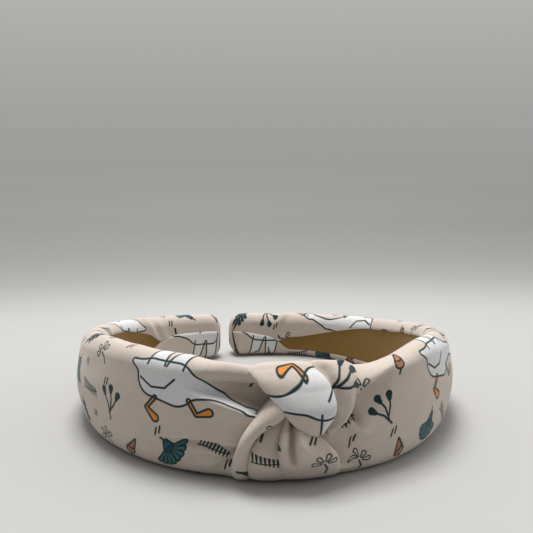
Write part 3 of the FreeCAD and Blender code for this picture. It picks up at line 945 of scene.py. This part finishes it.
fold("knot_flap",
     [(3, 60), (5, 50), (6, 43), (7.5, 37), (9.5, 31), (10.5, 25), (9.8, 18.5)],
     [(10, 60), (16, 50), (21, 43), (22.4, 37), (20.8, 30.5), (19.2, 24.5), (16.0, 19.5),
      (11.6, 15.6)],
     [-1.6, -0.2, 0.1, 0.5, 1.1, 1.4, 1.0, -0.2], [0.3, 0.8, 1.1, 1.5, 2.2, 2.8, 2.7, 1.6],
     node="knot_side_fold", round_=2.6, turn=0.4, shift=(30, 12), columns=64,
     pleats=[([(8.5, 38), (11.4, 33), (13.3, 29), (13.8, 25), (12.0, 20)], -2.2, 1.8, 2.2,
              (0.2, 1.0)),
             ([(18.0, 42), (18.6, 36), (17.8, 30), (16.6, 25)], 0.6, 1.4, 1.6, (0.3, 0.6))])
fold("knot_fan_left",
     [(-4.5, 21.5), (-8.0, 18.5), (-11.2, 14.5), (-12.6, 11), (-13.2, 7), (-13.2, 2), (-12.5, -6)],
     [(-1.6, 22.5), (-2.4, 19.0), (-3.0, 15), (-3.2, 11), (-2.4, 6), (-1.4, 1), (-1, -6)],
     [0.2, 0.5, 0.7, 0.9, 0.9, 0.3, -0.8], [0.6, 1.4, 2.3, 3.0, 2.6, 1.2, 0.4],
     round_=2.2, turn=0.05, shift=(-71.5, 41.1))
fold("knot_fan_right",
     [(-1.6, 22.6), (-2.9, 18.6), (-3.9, 15.2), (-4.1, 12), (-3.9, 9.0), (-3.4, 5), (-2.8, 0),
      (-2, -6)],
     [(4.5, 19.5), (7.8, 16.4), (10.4, 14.0), (12.6, 11.6), (14.2, 9.0), (15.4, 5.0), (15.8, 1.0),
      (14.5, -5)],
     [1.6, 1.9, 2.0, 1.9, 1.6, 0.9, 0.1, -0.8], [1.2, 3.2, 4.5, 4.9, 3.9, 2.1, 0.8, 0.3],
     node="knot_lower_fan", round_=2.7, turn=0.25, shift=(-75.6, -5.2), columns=84,
     pleats=[([(0.4, 22), (0.0, 18), (-0.2, 13.5), (0.6, 9.5), (2.4, 6.5)], -4.4, 1.1, 0.9,
              (0.0, 0.5)),
             ([(-2.0, 20), (-2.6, 16), (-2.6, 12), (-1.8, 8)], 0.9, 1.0, 1.0, (0.1, 0.5)),
             ([(1.6, 20), (2.2, 16.5), (3.6, 13.5), (6.0, 11.0)], 1.3, 1.2, 2.4, (0.1, 0.3)),
             ([(5.0, 17.5), (8.0, 14.0), (9.6, 10.0), (10, 6)], -0.9, 2.0, 2.0, (0.2, 0.4))])
fold("knot_roll",
     [(-3.5, 29.5), (-5.6, 27.4), (-7.8, 25.3), (-9.7, 23.2), (-11.8, 20.8), (-13.6, 18.2),
      (-15.0, 15.6), (-16.6, 11.4), (-17.7, 7.6), (-18.3, 2), (-17.5, -6)],
     [(0.5, 25.2), (-1.4, 23.4), (-3.4, 21.6), (-5.6, 20.2), (-8.2, 18.3), (-10.2, 16.0),
      (-11.5, 13.6), (-12.4, 10.2), (-12.8, 6.5), (-12.8, 1), (-12.5, -6)],
     [2.4, 2.6, 2.6, 2.4, 2.1, 1.8, 1.5, 1.2, 0.9, 0.4, -0.8],
     [2.2, 2.8, 3.2, 3.4, 3.4, 3.4, 3.2, 2.8, 2.1, 1.1, 0.4],
     node="knot_lower_roll", round_=2.0, turn=0.9, shift=(-52.6, 54.8))
fold("knot_strap",
     [(-9, 61), (-8.0, 52), (-8.5, 45), (-11.5, 38.5), (-13.4, 35.2), (-12.3, 33.6),
      (-10.0, 31.8), (-6.8, 29.2), (-3.5, 25.6), (-0.6, 21.6), (2.8, 18.3), (5.6, 16.6),
      (7.6, 16.0)],
     [(10, 61), (9.5, 52), (9.0, 45), (8.6, 38.5), (9.0, 35.0), (10.5, 33.2), (12.0, 31.2),
      (13.0, 28.2), (13.1, 25.2), (12.2, 22.2), (10.4, 19.6), (9.2, 17.6), (8.4, 16.2)],
     [-1.6, 0.3, 0.3, 0.3, 0.6, 1.1, 1.9, 2.8, 3.4, 3.2, 2.8, 2.0, 0.6],
     [0.3, 1.2, 1.2, 1.4, 1.8, 2.3, 2.8, 3.1, 3.2, 2.8, 2.4, 2.0, 0.8],
     node="knot_front_strap", round_=2.6, turn=math.pi - 0.2, shift=(-20.9, 56.6))
fold("knot_band",
     [(-9, 47), (-10.5, 54), (-10.5, 62), (-10, 70), (-10, 78), (-12, 88), (-13, 94)],
     [(10, 47), (12.5, 54), (11.5, 62), (10, 70), (10, 78), (12, 88), (13, 94)],
     [-1.0, -0.1, 0.4, 0.5, 0.2, -0.4, -0.8], [0.3, 0.7, 0.9, 0.9, 0.6, 0.3, 0.2],
     node="knot_inner_wrap", round_=2.6, shift=(40, 0),
     pleats=[([(-4, 50), (-3, 62), (-3, 76), (-5, 92)], -0.5, 1.2, 2.5, (0.0, 1.0)),
             ([(3, 50), (4.5, 62), (4, 76), (5, 92)], -0.4, 2.0, 1.2, (0.0, 1.0))])


# -------------------- stage, light and camera
FLOOR_COLOUR = (0.468, 0.468, 0.462)


def stage_material():
    """A pale floor with painted shade a little way out on all sides and painted light far off."""
    net = Net("pale_floor")
    far = net.vector("LENGTH", net.vector("MULTIPLY", net.place(), (0.5, 1.0, 1.0)))
    # painted light and shade: the floor's tone changes with distance from the object
    spread = net.node("ShaderNodeValToRGB")
    net.put(spread.inputs["Fac"], net.math("MULTIPLY", far, 0.25))
    spread.color_ramp.interpolation = "CARDINAL"
    painted_light_stops = [(0.0, 1.0), (0.039, 1.0), (0.06, 0.73), (0.095, 0.62), (0.16, 0.76), (0.27, 1.08),
             (0.5, 1.31), (1.0, 1.36)]
    while len(spread.color_ramp.elements) < len(painted_light_stops):
        spread.color_ramp.elements.new(0.5)
    for element, (place, tone) in zip(spread.color_ramp.elements, painted_light_stops):
        element.position = place
        element.color = [channel * tone for channel in FLOOR_COLOUR] + [1]
    return net.shader(spread.outputs["Color"], roughness=0.8, Specular_IOR_Level=0.15)


FLOOR_HALF = 6000           # mm
floor = new_mesh("floor", [(x * FLOOR_HALF, y * FLOOR_HALF, 0)
                           for x, y in ((-1, -1), (1, -1), (1, 1), (-1, 1))],
                 [(0, 1, 2, 3)], stage_material(), smooth=False)


LIGHT_COLOUR = (1.0, 0.99, 0.97)


def area_light(name, place, target, size, power):
    """A soft square light aimed at a point; lengths in m."""
    data = bpy.data.lights.new(name, "AREA")
    data.size, data.energy, data.color = size, power, LIGHT_COLOUR
    light = bpy.data.objects.new(name, data)
    light.location = place
    light.rotation_euler = (Vector(target) - Vector(place)).to_track_quat("-Z", "Y").to_euler()
    bpy.context.scene.collection.objects.link(light)


area_light("overhead", (-0.04, 0.12, 0.80), (0, 0, 0), size=0.34, power=6.5)
area_light("right_fill", (0.62, -0.10, 0.30), (0.03, 0, 0.02), size=0.40, power=0.6)


def studio_world():
    """A grey surround, brighter overhead, that falls to near black on the camera's side."""
    world = bpy.data.worlds.new("studio")
    bpy.context.scene.world = world
    world.use_nodes = True
    tree = world.node_tree
    background = tree.nodes["Background"]
    place = tree.nodes.new("ShaderNodeTexCoord")
    split = tree.nodes.new("ShaderNodeSeparateXYZ")
    tree.links.new(place.outputs["Generated"], split.inputs[0])
    ramp = tree.nodes.new("ShaderNodeValToRGB")
    tree.links.new(split.outputs[2], ramp.inputs["Fac"])
    ramp.color_ramp.elements[0].color = (0.376, 0.374, 0.363, 1)
    ramp.color_ramp.elements[1].color = (0.78, 0.78, 0.76, 1)
    ramp.color_ramp.elements[1].position = 0.6
    tree.links.new(ramp.outputs["Color"], background.inputs["Color"])
    front = tree.nodes.new("ShaderNodeMapRange")
    front.inputs["From Min"].default_value = -0.9
    front.inputs["From Max"].default_value = 0.2
    front.inputs["To Min"].default_value = 0.12
    front.inputs["To Max"].default_value = 0.95
    tree.links.new(split.outputs[1], front.inputs["Value"])
    tree.links.new(front.outputs[0], background.inputs["Strength"])


studio_world()

CAMERA_BACK, CAMERA_TURN, CAMERA_UP = 298.5, math.radians(-5.3), 111.2    # from the axis, mm
CAMERA_PITCH, CAMERA_YAW = math.radians(10.8), math.radians(-5.11)
camera_data = bpy.data.cameras.new("camera")
camera_data.lens, camera_data.sensor_width = 53.96, 36.0
camera_data.clip_start = 0.01
camera = bpy.data.objects.new("camera", camera_data)
bpy.context.scene.collection.objects.link(camera)
camera.location = Vector((math.sin(CAMERA_TURN) * CAMERA_BACK,
                          AXIS_Y - math.cos(CAMERA_TURN) * CAMERA_BACK, CAMERA_UP)) * MM
camera.rotation_euler = (math.pi / 2 - CAMERA_PITCH, 0, CAMERA_YAW)
bpy.context.scene.camera = camera
bpy.context.scene.view_settings.view_transform = "Standard"
